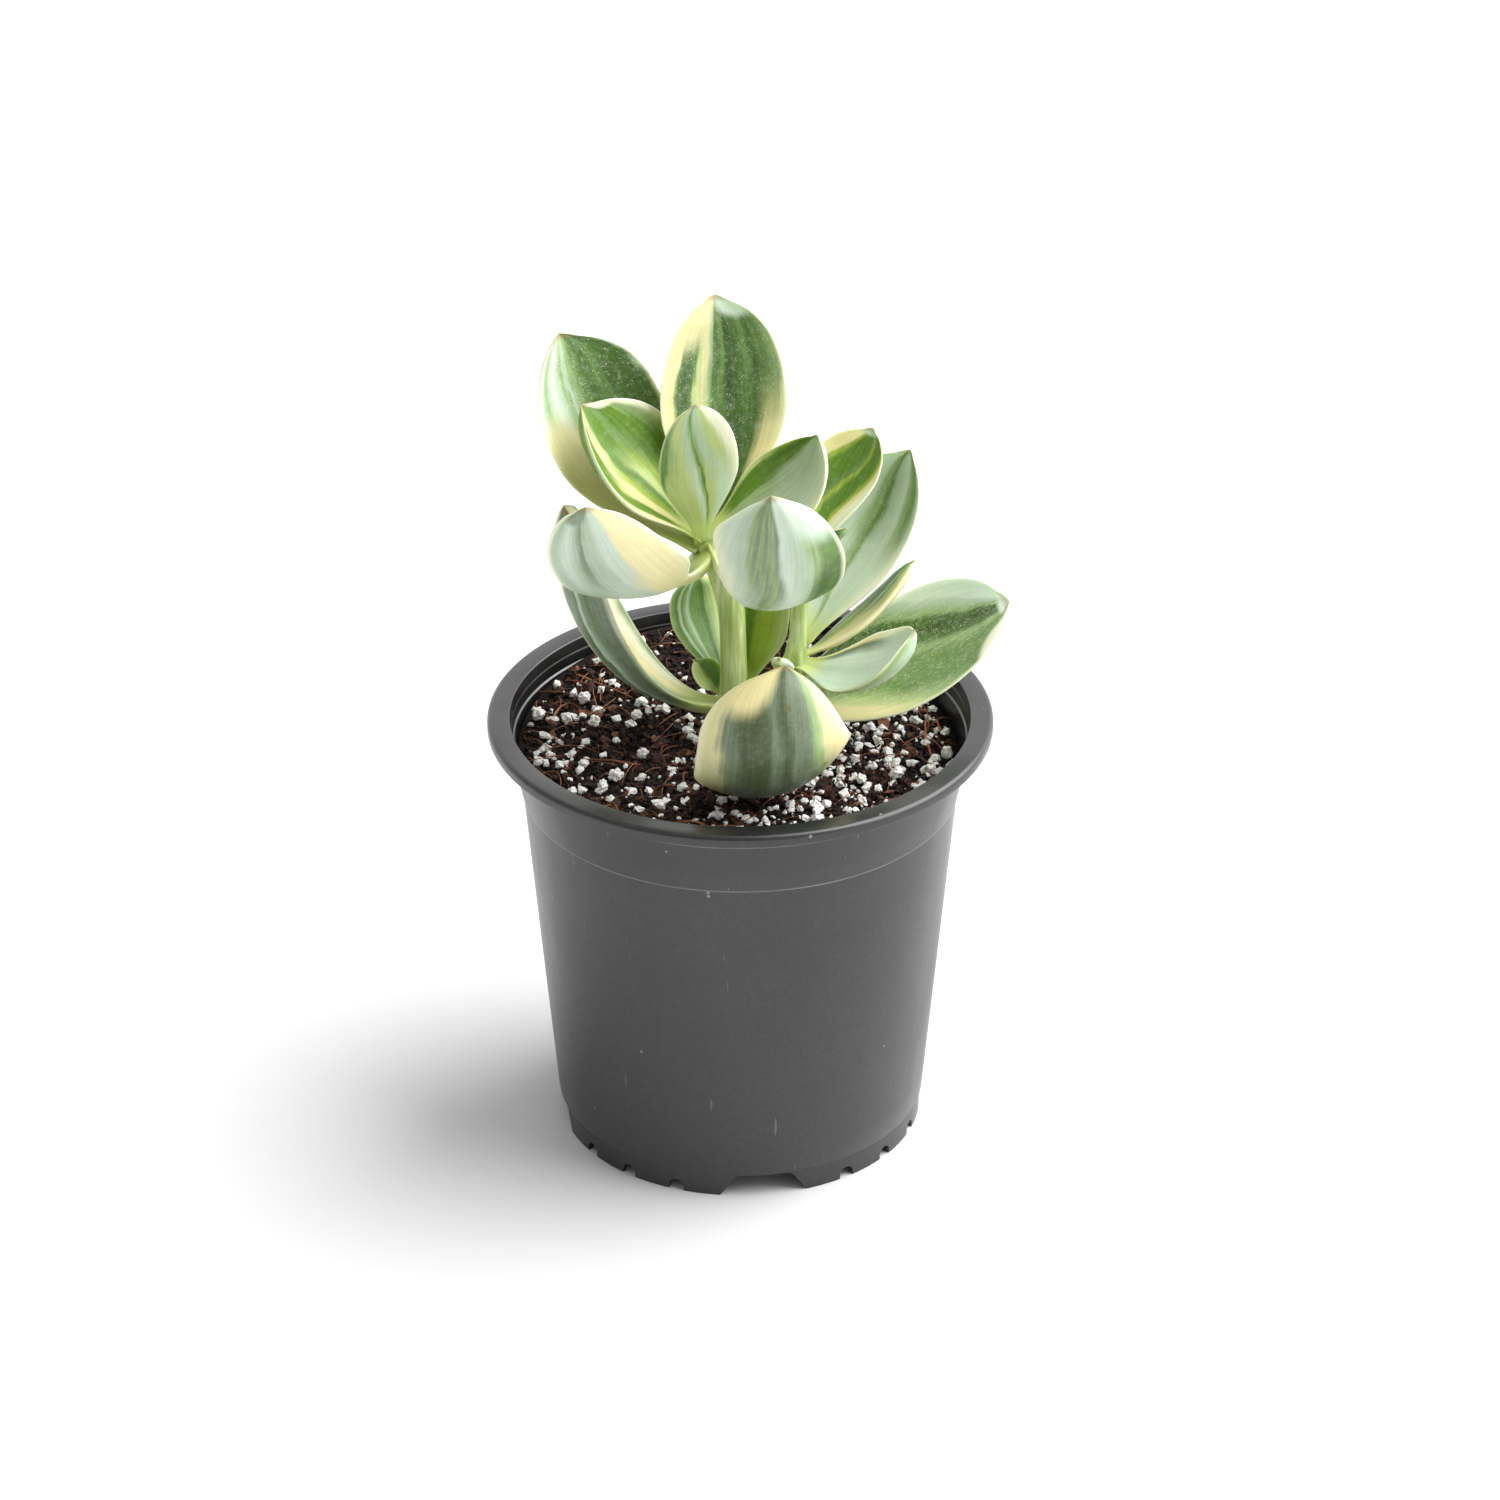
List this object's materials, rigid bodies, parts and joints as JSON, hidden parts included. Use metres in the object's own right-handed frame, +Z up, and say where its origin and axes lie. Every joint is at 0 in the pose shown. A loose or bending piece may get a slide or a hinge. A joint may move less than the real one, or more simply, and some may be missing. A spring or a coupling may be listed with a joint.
{
  "type": "potted jade plant",
  "caption": "Young variegated jade plant with thick cream-edged leaves on a leaning stem, in a round tapered nursery pot of dark plastic filled with perlite mix.",
  "frame": {"origin": "on the floor under the middle of the whole plant and pot's outline; the pot's axis is 1.8 mm towards -X of it", "axes": "+Z up, -Y towards the viewer's side with the front leaves, +X to the side of the long right leaf"},
  "size_m": [0.1116, 0.108, 0.1832],
  "materials": {
    "pot_plastic": "satin dark grey thin-wall plastic, fine dust and scuffs",
    "soil": "matt, coarse dark brown peat and bark mix",
    "stem": "smooth green, slightly waxy, with faint leaf scars",
    "leaf_mature": "waxy grey-green with darker stripes, cream margins and fine pale dots",
    "leaf_young": "glossy bright green with yellow and cream margins",
    "perlite": "chalky white, pitted",
    "coir": "matt orange-brown fibre"
  },
  "bodies": {
    "root": {"base_leaf_back": "leaf_young", "base_leaf_back_left": "leaf_mature", "base_leaf_front": "leaf_mature", "base_leaf_left": "leaf_mature", "base_leaf_right": "leaf_mature", "base_leaf_small_left": "leaf_young", "coir_fibre_1": "coir", "coir_fibre_2": "coir", "coir_fibre_3": "coir", "coir_fibre_4": "coir", "coir_fibre_5": "coir", "crown_leaf_back_left": "leaf_mature", "crown_leaf_back_tall": "leaf_mature", "crown_leaf_front": "leaf_mature", "crown_leaf_front_left": "leaf_mature", "crown_leaf_inner_left": "leaf_young", "crown_leaf_inner_right": "leaf_young", "crown_leaf_young_back": "leaf_young", "crown_leaf_young_front": "leaf_young", "main_stem": "stem", "nursery_pot": "pot_plastic", "perlite_grain_01": "perlite", "perlite_grain_02": "perlite", "perlite_grain_03": "perlite", "perlite_grain_04": "perlite", "perlite_grain_05": "perlite", "perlite_grain_06": "perlite", "perlite_grain_07": "perlite", "perlite_grain_08": "perlite", "perlite_grain_09": "perlite", "perlite_grain_10": "perlite", "perlite_grain_11": "perlite", "perlite_grain_12": "perlite", "perlite_grain_13": "perlite", "perlite_grain_14": "perlite", "perlite_grain_15": "perlite", "perlite_grain_16": "perlite", "potting_soil": "soil", "side_leaf_back_right": "leaf_mature", "side_leaf_front_right": "leaf_mature", "side_leaf_right": "leaf_young", "side_leaf_tiny": "leaf_young", "side_leaf_upper": "leaf_young", "side_shoot_bud": "leaf_young", "side_shoot_stem": "stem"}
  },
  "joints": []
}
